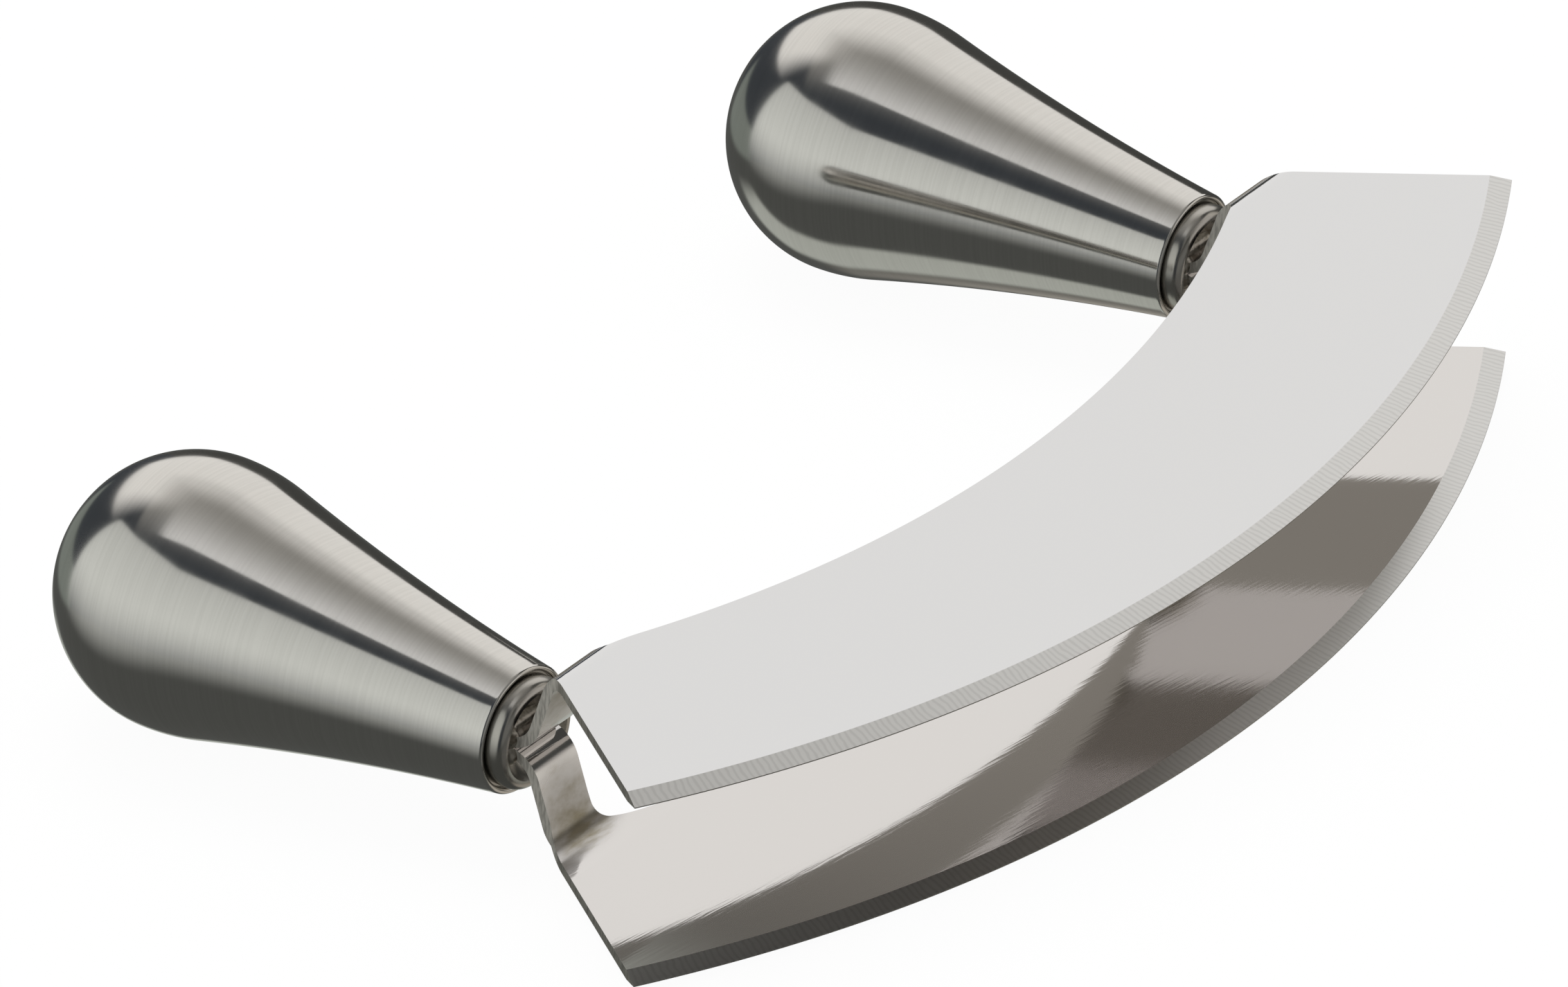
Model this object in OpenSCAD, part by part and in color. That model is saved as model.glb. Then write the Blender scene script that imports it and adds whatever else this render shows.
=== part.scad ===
// Mezzaluna with two curved blades between two pear-shaped handles.
// Lengths are millimetres and angles are degrees.
// It lies as it is put down, on the round ends of its handles and on the edge side of
// the lower blade. X runs from handle to handle, Y from the cutting edges to the handles.

/* [Blades] */
// Straight distance between the two tips of a cutting edge
edge_chord = 200; // [180:1:220]
// Radius of the curved cutting edge
edge_radius = 198; // [170:1:240]
// Radius of a blade's hollow back
back_radius = 172; // [150:1:210]
// Depth of a blade at its middle, from edge to back
blade_depth = 38; // [34:0.5:44]
// Thickness of the blade sheet
sheet_t = 1.5; // [1:0.1:2]
// Width of the bevel ground on each face
bevel_w = 3; // [1.5:0.1:4]
// Thickness left at the cutting edge
edge_t = 0.15; // [0.05:0.05:0.3]
// Distance between the middle planes of the two blades
blade_pitch = 27.2; // [24:0.2:30]

/* [Tangs] */
// Distance from a blade's tip in to the middle line of its tang
tang_inset = 23.8; // [20:0.2:28]
// Width of a tang
tang_w = 8.5; // [7:0.1:10]
// Inside radius of both bends in a tang
bend_r = 3.9; // [2.5:0.1:4.8]
// Angle that each bend turns through
bend_angle = 72; // [62:1:82]
// Length of a tang from its last bend to its end
tang_insert = 22; // [12:1:35]
// Radius of the corner between a tang and the blade's back
root_r = 3; // [1.5:0.5:5]
// Distance from the line where the sheet starts to fold to the back's highest point
fold_inset = 2.46; // [1.5:0.02:3]
// Distance past that point at which the blade's end cut meets the tang's outer side
foot_rise = 1.3; // [0.6:0.1:2.4]

/* [Handles] */
// Distance from the end of a tang's last bend to the mouth of the shell
mouth_gap = 0.6; // [0:0.1:1.5]
// Angle by which each handle leans towards the other
toe_in = 1.3; // [0:0.1:3]
// Outside radius of a shell at its mouth
mouth_r = 9; // [8.2:0.05:10]
// Radius of the round end of a shell
bulb_r = 19; // [17:0.1:22]
// Distance from the mouth to the middle of the round end
bulb_reach = 55; // [48:0.5:65]
// Radius of the shoulder in front of the round end
shoulder_r = 32; // [26:0.5:38]
// Radius of the neck's hollow curve
neck_r = 430; // [250:10:800]
// Thickness of the shell
shell_t = 0.9; // [0.6:0.05:1.3]
// Depth of the straight bore inside the mouth
land_depth = 4; // [3.8:0.1:6]

/* [End caps] */
// Distance that the ring stands out of the mouth
ring_out = 2.4; // [1.8:0.1:3]
// Radius of the ring's rounded section
ring_r = 1.3; // [0.8:0.1:1.5]
// Width of the ring and its inner slope, seen from the front
rim_w = 1.55; // [1.3:0.05:2]
// Width of the groove between the ring and the shell's lip
groove_w = 0.3; // [0.1:0.05:0.5]
// Depth of that groove
groove_depth = 0.8; // [0.5:0.1:1.5]
// Depth of the dish below the top of the ring
dish_depth = 3; // [2.4:0.1:3.4]
// Thickness of the cap under the middle of the dish
cap_floor = 1.3; // [0.8:0.1:2]
// Depth of the cap's skirt inside the mouth
skirt_depth = 3.5; // [3:0.1:3.8]
// Thickness of the skirt
skirt_t = 1; // [0.6:0.1:1.5]
// Clearance of the skirt in the shell, on the radius
cap_fit = 0.03; // [0:0.01:0.08]
// Clearance of the tangs in the cap's slot, on each side
slot_fit = 0.05; // [0.02:0.01:0.15]

/* [Welds] */
// Radius of the weld beads along the tangs
bead_r = 1.1; // [0.8:0.1:1.4]
// Radius of the lumps at the sides of the tangs
lump_r = 1.5; // [1.2:0.1:1.8]
// Height of the lumps' centres from the middle plane, as a share of their radius
lump_height_share = 0.85; // [0.6:0.05:1]

/* [Hidden] */

// How far a cutting shape runs past what it cuts
overrun = 2;
// How far a round runs over what it is tangent to, so that the two cross and leave no sliver
blend = 0.002;
// Sides of a full circle: small rounds, blade outlines and the neck's long curve
$fn = 96;
outline_fn = 360;
neck_fn = 720;

blade_color = "#D8D8D7";
shell_color = "#B7B5B0";
cap_color = "#97958F";
weld_color = "#77716A";

// Blade outline, seen from above: the edge's lowest point is at the origin
tip_x = edge_chord / 2;
tip_y = edge_radius - sqrt(pow(edge_radius, 2) - pow(tip_x, 2));
half_pitch = blade_pitch / 2;
back_centre_y = blade_depth + back_radius;
tang_x = tip_x - tang_inset;
tang_out_x = tang_x + tang_w / 2;
tang_in_x = tang_x - tang_w / 2;
back_end_y = back_centre_y - sqrt(pow(back_radius, 2) - pow(tang_in_x, 2));
fold_y = back_end_y - fold_inset;
foot_y = back_end_y + foot_rise;
end_slope = (tip_x - tang_out_x) / (foot_y - tip_y);
cut_x = tip_x + (tip_y + overrun) * end_slope;

// Round corner between the back and the tang: its centre, and where it meets the back
root_x = tang_in_x - root_r;
root_y = back_centre_y - sqrt(pow(back_radius - root_r, 2) - pow(root_x, 2));
root_reach = back_radius / (back_radius - root_r);
root_meet = [root_x * root_reach, back_centre_y + (root_y - back_centre_y) * root_reach];

// Tang, seen from the side (Y first, then Z): bend, straight leg, bend back, straight end
bend_mid_r = bend_r + sheet_t / 2;
drop = half_pitch - sheet_t / 2;
leg_len = (drop - 2 * bend_mid_r * (1 - cos(bend_angle))) / sin(bend_angle);
level_y = fold_y + 2 * bend_mid_r * sin(bend_angle) + leg_len * cos(bend_angle);
tang_end_y = level_y + tang_insert;
root_bend = [fold_y, half_pitch - bend_mid_r];
mid_bend = [level_y, sheet_t + bend_r];
corner_reach = [tan(bend_angle / 2), 1];
bend_out_r = bend_r + sheet_t;

// Bevel on one face of the blade: how far it falls for each length outwards
bevel_slope = (sheet_t - edge_t) / 2 / bevel_w;
bevel_end_z = sheet_t / 2 - (bevel_w + overrun) * bevel_slope;

// Handle: along its own axis from the mouth, with the radius first
mouth_y = level_y + mouth_gap;
bore_r = mouth_r - shell_t;
shoulder_centre = [bulb_r - shoulder_r, bulb_reach];
mouth_point = [mouth_r, shell_t / 2];
to_mouth = mouth_point - shoulder_centre;
mouth_dist = norm(to_mouth);
along = to_mouth / mouth_dist;
centre_dist = neck_r + shoulder_r;
along_len = (pow(centre_dist, 2) - pow(neck_r, 2) + pow(mouth_dist, 2)) / (2 * mouth_dist);
across_len = sqrt(pow(centre_dist, 2) - pow(along_len, 2));
neck_centre = shoulder_centre + along_len * along + across_len * [-along[1], along[0]];
neck_turn = (neck_centre - shoulder_centre) / centre_dist;

// End cap, along the handle's axis, where the mouth is zero and outwards is negative
cap_r = bore_r - groove_w;
ring_centre = [cap_r - ring_r, ring_r - ring_out];
dish_r = cap_r - rim_w;
dish_ball_r = (pow(dish_r, 2) + pow(dish_depth, 2)) / (2 * dish_depth);
dish_bottom = dish_depth - ring_out;
dish_ball = [0, dish_bottom - dish_ball_r];
cap_back = dish_bottom + cap_floor;

// How the whole lies: turned about X until the bulbs and the lower bevel touch the floor
bulb_y = mouth_y + bulb_reach * cos(toe_in);
blade_reach = bulb_y - bevel_w;
blade_drop = half_pitch + sheet_t / 2;
rest_tilt = asin(bulb_r / norm([blade_reach, blade_drop])) - atan2(blade_drop, blade_reach);
rest_height = bulb_r - bulb_y * sin(rest_tilt);
front_y = -(half_pitch + edge_t / 2) * sin(rest_tilt);
rear_y = bulb_y * cos(rest_tilt) + bulb_r;

module set_down() {
    translate([0, -(front_y + rear_y) / 2, rest_height]) rotate([rest_tilt, 0, 0]) children();
}

// The part of the blade's plan that is open between the two tangs, with its round corners
module back_opening() {
    difference() {
        intersection() {
            translate([0, back_centre_y]) circle(back_radius, $fn = outline_fn);
            translate([-tang_in_x, 0]) square([2 * tang_in_x, tang_end_y + overrun]);
        }
        for (side = [-1, 1])
            polygon([
                [side * root_x, root_y],
                [side * root_meet[0], root_meet[1]],
                [side * (tang_in_x + overrun), root_meet[1] - overrun],
                [side * (tang_in_x + overrun), root_y]
            ]);
    }
    for (side = [-1, 1])
        translate([side * root_x, root_y]) circle(root_r + blend);
}

// The plan of a blade with its tangs
module blade_plan() {
    difference() {
        intersection() {
            polygon([
                [-cut_x, -overrun], [cut_x, -overrun],
                [tang_out_x, foot_y], [tang_out_x, tang_end_y],
                [-tang_out_x, tang_end_y], [-tang_out_x, foot_y]
            ]);
            translate([0, edge_radius]) circle(edge_radius, $fn = outline_fn);
        }
        back_opening();
    }
}

// The corner that lies between the two ends of a bend, out to the radius r
module bend_corner(centre, way, r) {
    polygon([
        centre,
        centre + way * r * [0, 1],
        centre + way * r * corner_reach,
        centre + way * r * [sin(bend_angle), cos(bend_angle)]
    ]);
}

// The folded sheet seen from the side: a band with sharp corners, then both bends rounded
module fold_profile() {
    difference() {
        union() {
            polygon([
                [-overrun, half_pitch + sheet_t / 2],
                root_bend + bend_out_r * corner_reach,
                mid_bend - bend_r * corner_reach,
                [tang_end_y, sheet_t],
                [tang_end_y, 0],
                mid_bend - bend_out_r * corner_reach,
                root_bend + bend_r * corner_reach,
                [-overrun, half_pitch - sheet_t / 2]
            ]);
            difference() {
                bend_corner(root_bend, 1, bend_mid_r);
                translate(root_bend) circle(bend_r + blend);
            }
            difference() {
                bend_corner(mid_bend, -1, bend_mid_r);
                translate(mid_bend) circle(bend_r + blend);
            }
        }
        difference() {
            bend_corner(root_bend, 1, bend_out_r + overrun);
            translate(root_bend) circle(bend_out_r + blend);
        }
        difference() {
            bend_corner(mid_bend, -1, bend_out_r + overrun);
            translate(mid_bend) circle(bend_out_r + blend);
        }
    }
}

// What the grinding takes off one face along the cutting edge
module bevel_cut() {
    rotate_extrude($fn = outline_fn)
        polygon([
            [edge_radius - bevel_w, sheet_t / 2], [edge_radius - bevel_w, sheet_t],
            [edge_radius + overrun, sheet_t], [edge_radius + overrun, bevel_end_z]
        ]);
}

// The folded sheet from from_x on, as wide as the given width
module folded_sheet(from_x, width) {
    translate([from_x, 0, 0]) rotate([90, 0, 90]) linear_extrude(width) fold_profile();
}

module blade() {
    difference() {
        intersection() {
            folded_sheet(-cut_x, 2 * cut_x);
            translate([0, 0, -sheet_t]) linear_extrude(blade_pitch) blade_plan();
        }
        for (face = [0, 1])
            translate([0, edge_radius, half_pitch]) mirror([0, 0, face]) bevel_cut();
    }
}

module upper_blade() {
    color(blade_color) set_down() blade();
}

module lower_blade() {
    color(blade_color) set_down() mirror([0, 0, 1]) blade();
}

// Half the lengthwise section of a pear-shaped body, drawn in from the outside by inset
module pear_section(inset) {
    neck_end = shoulder_centre + neck_turn * (shoulder_r - inset);
    intersection() {
        translate([0, bulb_reach]) circle(bulb_r - inset + blend);
        translate([0, bulb_reach - bulb_r]) square([bulb_r + overrun, 2 * bulb_r + overrun]);
    }
    intersection() {
        translate(shoulder_centre) circle(shoulder_r - inset, $fn = outline_fn);
        square([bulb_r, bulb_reach]);
    }
    difference() {
        translate([0, shell_t / 2]) square([neck_end[0], neck_end[1] - shell_t / 2]);
        translate(neck_centre) circle(neck_r + inset + blend, $fn = neck_fn);
    }
}

// Half the section of a shell: the wall, a straight bore at the mouth and a round lip
module shell_section() {
    difference() {
        pear_section(0);
        intersection() {
            pear_section(shell_t);
            translate([0, land_depth]) square([bulb_r + overrun, bulb_reach + bulb_r]);
        }
        square([bore_r, land_depth + overrun]);
    }
    translate([bore_r + shell_t / 2, shell_t / 2]) circle(shell_t / 2 + blend);
}

// Puts a body that is drawn upright on Z onto the right handle's axis
module on_handle() {
    translate([tang_x, mouth_y, 0])
        rotate([0, 0, toe_in])
            rotate([-90, 0, 0]) children();
}

module right_shell() {
    on_handle() rotate_extrude() shell_section();
}

module left_handle_shell() {
    color(shell_color) set_down() mirror([1, 0, 0]) right_shell();
}

module right_handle_shell() {
    color(shell_color) set_down() right_shell();
}

// The slot in a cap for the pair of tangs
module tang_slot() {
    translate([tang_in_x - slot_fit, level_y - ring_out - overrun, -sheet_t - slot_fit])
        cube([tang_w + 2 * slot_fit, tang_insert, 2 * (sheet_t + slot_fit)]);
}

// Half the section of an end cap: ring, dished floor and skirt
module cap_section() {
    difference() {
        union() {
            translate(ring_centre) circle(ring_r + blend);
            translate([0, -ring_out]) square([ring_centre[0], ring_out + cap_back]);
            translate([0, ring_centre[1]]) square([cap_r, groove_depth - ring_centre[1]]);
            translate([0, groove_depth])
                square([bore_r - cap_fit, skirt_depth - groove_depth]);
        }
        translate(dish_ball) circle(dish_ball_r);
        translate([0, cap_back])
            square([bore_r - cap_fit - skirt_t, skirt_depth - cap_back + overrun]);
    }
}

module right_cap() {
    difference() {
        on_handle() rotate_extrude() cap_section();
        tang_slot();
    }
}

module left_end_cap() {
    color(cap_color) set_down() mirror([1, 0, 0]) right_cap();
}

module right_end_cap() {
    color(cap_color) set_down() right_cap();
}

// Weld metal in the dish: a bead along each broad side of the tangs and lumps at the ends
module right_weld() {
    difference() {
        intersection() {
            on_handle() translate([0, 0, dish_ball[1]]) sphere(dish_ball_r);
            union() {
                for (side = [-1, 1]) {
                    translate([tang_x, mouth_y, side * (sheet_t + bead_r / 2)])
                        rotate([0, 90, 0]) cylinder(h = tang_w, r = bead_r, center = true);
                    for (level = [-1, 1])
                        translate([tang_x + side * tang_w / 2, mouth_y - lump_r / 2,
                                   level * lump_r * lump_height_share])
                            sphere(lump_r);
                }
            }
        }
        for (face = [0, 1])
            mirror([0, 0, face]) folded_sheet(tang_in_x, tang_w);
    }
}

module left_tang_weld() {
    color(weld_color) set_down() mirror([1, 0, 0]) right_weld();
}

module right_tang_weld() {
    color(weld_color) set_down() right_weld();
}

upper_blade();
lower_blade();
left_handle_shell();
right_handle_shell();
left_end_cap();
right_end_cap();
left_tang_weld();
right_tang_weld();
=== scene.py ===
"""A mezzaluna: two curved steel blades held between two hollow, pear-shaped steel handles.

Each piece is modelled in the maker's own frame, in millimetres: X runs from handle to handle, Y from
the lowest point of the cutting edge to the handles, and Z up from the middle between the blades. The
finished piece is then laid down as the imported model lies, in metres.
"""
import logging
import math
from dataclasses import dataclass
from enum import Enum

import bpy
from bpy.types import Material, NodeSocket, Object
from mathutils import Matrix, Vector


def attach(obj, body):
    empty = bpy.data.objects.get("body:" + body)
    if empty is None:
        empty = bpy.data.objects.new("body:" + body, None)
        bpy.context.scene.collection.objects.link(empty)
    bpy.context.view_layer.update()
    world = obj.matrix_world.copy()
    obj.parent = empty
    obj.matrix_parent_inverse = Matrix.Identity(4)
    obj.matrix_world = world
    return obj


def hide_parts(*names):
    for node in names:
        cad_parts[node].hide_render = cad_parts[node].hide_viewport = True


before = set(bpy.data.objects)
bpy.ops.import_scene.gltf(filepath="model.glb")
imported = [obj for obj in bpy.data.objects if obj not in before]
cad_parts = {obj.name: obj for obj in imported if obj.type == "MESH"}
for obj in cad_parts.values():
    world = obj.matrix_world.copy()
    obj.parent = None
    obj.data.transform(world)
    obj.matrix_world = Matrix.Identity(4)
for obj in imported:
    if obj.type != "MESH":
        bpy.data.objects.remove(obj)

log = logging.getLogger("mezzaluna")

MM = 0.001
BODY = "root"
PICTURE_PX = (2264, 1425)
MERGE_MM = 1e-3
POLE_MM = 0.01
UV_MM = 100
PLACE = "own_place_mm"
WHITE = (1, 1, 1, 1)
SOFT = {"interpolation_type": "SMOOTHSTEP"}
HANDLES_AT = (0, 0.045, 0.017)


class Side(Enum):
    """The handle that a piece belongs to, as its node's first word."""

    LEFT = "left"
    RIGHT = "right"


class Level(Enum):
    """Which of the two blades a piece is, as its node's first word."""

    UPPER = "upper"
    LOWER = "lower"


@dataclass(frozen=True)
class Sizes:
    """The driving dimensions of the real object, in millimetres and degrees."""

    edge_chord: float = 200
    edge_radius: float = 198
    back_radius: float = 172
    blade_depth: float = 38
    sheet_t: float = 1.5
    bevel_w: float = 3
    edge_t: float = 0.15
    blade_pitch: float = 27.2
    tang_inset: float = 23.8
    tang_w: float = 8.5
    bend_r: float = 3.9
    bend_angle: float = 72
    tang_insert: float = 22
    root_r: float = 3
    fold_inset: float = 2.46
    foot_rise: float = 1.3
    mouth_gap: float = 0.6
    toe_in: float = 1.3
    mouth_r: float = 9
    bulb_r: float = 19
    bulb_reach: float = 55
    shoulder_r: float = 32
    neck_r: float = 430
    shell_t: float = 0.9
    land_depth: float = 4
    ring_out: float = 2.4
    ring_r: float = 1.3
    rim_w: float = 1.55
    groove_w: float = 0.3
    groove_depth: float = 0.8
    dish_depth: float = 3
    cap_floor: float = 1.3
    skirt_depth: float = 3.5
    skirt_t: float = 1
    cap_fit: float = 0.03
    slot_fit: float = 0.05
    bead_r: float = 1.1
    lump_r: float = 1.5

    @property
    def tip_x(self) -> float:
        """Half the chord of the cutting edge."""
        return self.edge_chord / 2

    @property
    def tip_y(self) -> float:
        """How far back the tips of the edge lie."""
        return self.edge_radius - math.sqrt(self.edge_radius ** 2 - self.tip_x ** 2)

    @property
    def half_pitch(self) -> float:
        """Height of a blade's middle plane over the middle of the object."""
        return self.blade_pitch / 2

    @property
    def back_centre_y(self) -> float:
        """Where the centre of the blade's hollow back lies."""
        return self.blade_depth + self.back_radius

    @property
    def tang_x(self) -> float:
        """Distance of a tang's middle line, and of a handle, from the middle."""
        return self.tip_x - self.tang_inset

    @property
    def tang_out_x(self) -> float:
        """The outer side of a tang."""
        return self.tang_x + self.tang_w / 2

    @property
    def tang_in_x(self) -> float:
        """The inner side of a tang."""
        return self.tang_x - self.tang_w / 2

    @property
    def fold_y(self) -> float:
        """Where the sheet starts to fold."""
        return self.back_end_y - self.fold_inset

    @property
    def foot_y(self) -> float:
        """Where the blade's straight end cut meets the tang."""
        return self.back_end_y + self.foot_rise

    @property
    def bend_mid_r(self) -> float:
        """Radius of a bend in the middle of the sheet."""
        return self.bend_r + self.sheet_t / 2

    @property
    def level_y(self) -> float:
        """Where the tang's second bend ends and it runs level again."""
        turn = math.radians(self.bend_angle)
        drop = self.half_pitch - self.sheet_t / 2
        leg = (drop - 2 * self.bend_mid_r * (1 - math.cos(turn))) / math.sin(turn)
        return self.fold_y + 2 * self.bend_mid_r * math.sin(turn) + leg * math.cos(turn)

    @property
    def tang_end_y(self) -> float:
        """Where the tang ends inside the handle."""
        return self.level_y + self.tang_insert

    @property
    def mouth_y(self) -> float:
        """Where the mouth of a handle shell lies."""
        return self.level_y + self.mouth_gap

    @property
    def bore_r(self) -> float:
        """Radius of the straight bore inside a shell's mouth."""
        return self.mouth_r - self.shell_t

    @property
    def back_end_y(self) -> float:
        """Where the blade's hollow back would meet the inner side of a tang."""
        return self.back_centre_y - math.sqrt(self.back_radius ** 2 - self.tang_in_x ** 2)


@dataclass(frozen=True)
class Rest:
    """How the finished object lies: tilted until its bulbs and its lower bevel touch the floor."""

    sizes: Sizes

    @property
    def tilt(self) -> float:
        """The turn about X, in radians."""
        s = self.sizes
        reach = self.bulb_y - s.bevel_w
        drop = s.half_pitch + s.sheet_t / 2
        return math.asin(s.bulb_r / math.hypot(reach, drop)) - math.atan2(drop, reach)

    @property
    def bulb_y(self) -> float:
        """Where the round ends of the handles have their middle."""
        s = self.sizes
        return s.mouth_y + s.bulb_reach * math.cos(math.radians(s.toe_in))

    @property
    def matrix(self) -> Matrix:
        """The step from the maker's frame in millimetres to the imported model's in metres."""
        s = self.sizes
        front = -(s.half_pitch + s.edge_t / 2) * math.sin(self.tilt)
        rear = self.bulb_y * math.cos(self.tilt) + s.bulb_r
        lift = s.bulb_r - self.bulb_y * math.sin(self.tilt)
        shift = Matrix.Translation((0, -(front + rear) / 2, lift))
        return Matrix.Scale(MM, 4) @ shift @ Matrix.Rotation(self.tilt, 4, "X")

    @property
    def handle(self) -> Matrix:
        """The step to the maker's frame from the right handle's own, whose Y is its axis."""
        s = self.sizes
        mouth = Matrix.Translation((s.tang_x, s.mouth_y, 0))
        return mouth @ Matrix.Rotation(math.radians(s.toe_in), 4, "Z")


@dataclass(frozen=True)
class Part:
    """The node that a piece dresses, its material slot and how sharp its shaded edges are."""

    node: str
    slot: str
    sharp_degrees: float


def clear() -> None:
    """Leaves edit mode and deselects everything."""
    if bpy.context.object and bpy.context.object.mode != "OBJECT":
        bpy.ops.object.mode_set(mode="OBJECT")
    bpy.ops.object.select_all(action="DESELECT")


def pick(piece: Object) -> None:
    """Selects one piece alone and makes it the active one.

    Args:
        piece: the piece.
    """
    clear()
    piece.select_set(True)
    bpy.context.view_layer.objects.active = piece


def edit(piece: Object) -> None:
    """Opens one piece in edit mode with all of it selected.

    Args:
        piece: the piece.
    """
    pick(piece)
    bpy.ops.object.mode_set(mode="EDIT")
    bpy.ops.mesh.select_all(action="SELECT")


def tidy(piece: Object) -> None:
    """Merges doubled points and turns all faces outwards.

    Args:
        piece: the mesh to tidy.
    """
    edit(piece)
    bpy.ops.mesh.remove_doubles(threshold=MERGE_MM)
    bpy.ops.mesh.normals_make_consistent(inside=False)
    bpy.ops.object.mode_set(mode="OBJECT")


def finish_modifiers(piece: Object) -> None:
    """Applies every modifier on a piece in its order.

    Args:
        piece: the piece.
    """
    pick(piece)
    for name in [modifier.name for modifier in piece.modifiers]:
        bpy.ops.object.modifier_apply(modifier=name)


def boolean(piece: Object, tool: Object, operation: str) -> None:
    """Cuts a piece with a tool and removes the tool.

    Args:
        piece: the mesh that stays.
        tool: the mesh that cuts it.
        operation: Blender's name for the kind of cut.
    """
    cut = piece.modifiers.new("cut", "BOOLEAN")
    cut.operation = operation
    cut.solver = "EXACT"
    cut.object = tool
    finish_modifiers(piece)
    bpy.data.objects.remove(tool)


def note_place(piece: Object) -> None:
    """Writes each point's own place, in millimetres, to the mesh, for the finishes to follow.

    Args:
        piece: the mesh, in the frame that its finish follows.
    """
    clear()
    mesh = piece.data
    note = mesh.attributes.new(PLACE, "FLOAT_VECTOR", "POINT")
    for point in mesh.vertices:
        note.data[point.index].vector = point.co


def unwrap_turned(piece: Object) -> None:
    """Gives a turned piece a UV map: U runs along its axis and V round it.

    Args:
        piece: the turned mesh, in its own frame.
    """
    mesh = piece.data
    layer = mesh.uv_layers.new(name="turned")
    for face in mesh.polygons:
        middle = math.atan2(face.center.z, face.center.x)
        for loop in face.loop_indices:
            point = mesh.vertices[mesh.loops[loop].vertex_index].co
            turn = math.atan2(point.z, point.x) if math.hypot(point.x, point.z) > POLE_MM else middle
            turn += math.tau * round((middle - turn) / math.tau)
            layer.data[loop].uv = (point.y / UV_MM, turn / math.tau)


def put(piece: Object, matrix: Matrix) -> None:
    """Puts a piece where the matrix says and leaves its object at the origin.

    Args:
        piece: the mesh to place.
        matrix: the step from the piece's own frame.
    """
    pick(piece)
    piece.matrix_world = matrix @ piece.matrix_world
    bpy.ops.object.transform_apply(location=True, rotation=True, scale=True)


def mirrored(piece: Object, name: str, axis: tuple) -> Object:
    """Copies a piece, with a mesh of its own, to the other side of the maker's frame.

    Args:
        piece: the piece to copy.
        name: the copy's name.
        axis: the direction in which it is mirrored.

    Returns:
        The copy.
    """
    pick(piece)
    bpy.ops.object.duplicate(linked=False)
    twin = bpy.context.object
    twin.name = name
    put(twin, Matrix.Scale(-1, 4, axis))
    tidy(twin)
    return twin


def lay_down(piece: Object, rest: Rest, part: Part) -> Object:
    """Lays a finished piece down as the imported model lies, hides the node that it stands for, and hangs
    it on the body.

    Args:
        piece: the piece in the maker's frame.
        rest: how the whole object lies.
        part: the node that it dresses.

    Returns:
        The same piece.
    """
    put(piece, rest.matrix)
    bpy.ops.object.shade_smooth_by_angle(angle=math.radians(part.sharp_degrees))
    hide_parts(part.node)
    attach(piece, BODY)
    return piece


class Outline:
    """A line of points drawn with the extrude and spin tools, one stretch after the other."""

    def __init__(self, name: str, start: tuple) -> None:
        """Starts the line.

        Args:
            name: the piece's name.
            start: the first point.
        """
        clear()
        bpy.ops.mesh.primitive_plane_add(size=1)
        self.piece = bpy.context.object
        self.piece.name = name
        edit(self.piece)
        bpy.ops.mesh.merge(type="CENTER")
        bpy.ops.transform.translate(value=start)
        self.at = Vector(start)

    def line_to(self, *points: tuple) -> None:
        """Draws straight stretches.

        Args:
            points: where they end.
        """
        for point in points:
            step = Vector(point) - self.at
            bpy.ops.mesh.extrude_vertices_move(TRANSFORM_OT_translate={"value": step})
            self.at = Vector(point)

    def arc_to(self, centre: tuple, point: tuple, steps: int, axis: tuple = (0, 0, 1)) -> None:
        """Draws an arc the short way round its centre.

        Args:
            centre: the arc's centre.
            point: where it ends.
            steps: how many straight pieces it has.
            axis: the line it turns about.
        """
        middle = Vector(centre)
        start = self.at - middle
        end = Vector(point) - middle
        angle = start.angle(end)
        if start.cross(end).dot(Vector(axis)) > 0:
            angle = -angle
        bpy.ops.mesh.spin(steps=steps, angle=angle, center=middle, axis=axis)
        self.at = Vector(point)

    def turned(self, steps: int, axis: tuple = (0, 1, 0), centre: tuple = (0, 0, 0)) -> Object:
        """Spins the whole line into a turned piece.

        Args:
            steps: how many straight pieces a full turn has.
            axis: the line it turns about.
            centre: a point on that line.

        Returns:
            The finished mesh.
        """
        bpy.ops.mesh.select_all(action="SELECT")
        bpy.ops.mesh.spin(steps=steps, angle=math.tau, center=centre, axis=axis)
        tidy(self.piece)
        return self.piece

    def prism(self, depth: tuple) -> Object:
        """Closes the line, fills it and draws it out.

        Args:
            depth: how far and which way it is drawn out.

        Returns:
            The finished mesh.
        """
        bpy.ops.mesh.select_all(action="SELECT")
        bpy.ops.mesh.remove_doubles(threshold=MERGE_MM)
        bpy.ops.mesh.edge_face_add()
        bpy.ops.mesh.extrude_region_move(TRANSFORM_OT_translate={"value": depth})
        tidy(self.piece)
        return self.piece


def linear_colour(code: str) -> tuple:
    """Turns an sRGB hex code to the linear colour that the shaders take.

    Args:
        code: six hex digits after a hash sign.

    Returns:
        Linear red, green and blue, and a full alpha.
    """
    parts = [int(code[i:i + 2], 16) / 255 for i in (1, 3, 5)]
    linear = [p / 12.92 if p <= 0.04045 else ((p + 0.055) / 1.055) ** 2.4 for p in parts]
    return (*linear, 1.0)


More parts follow.
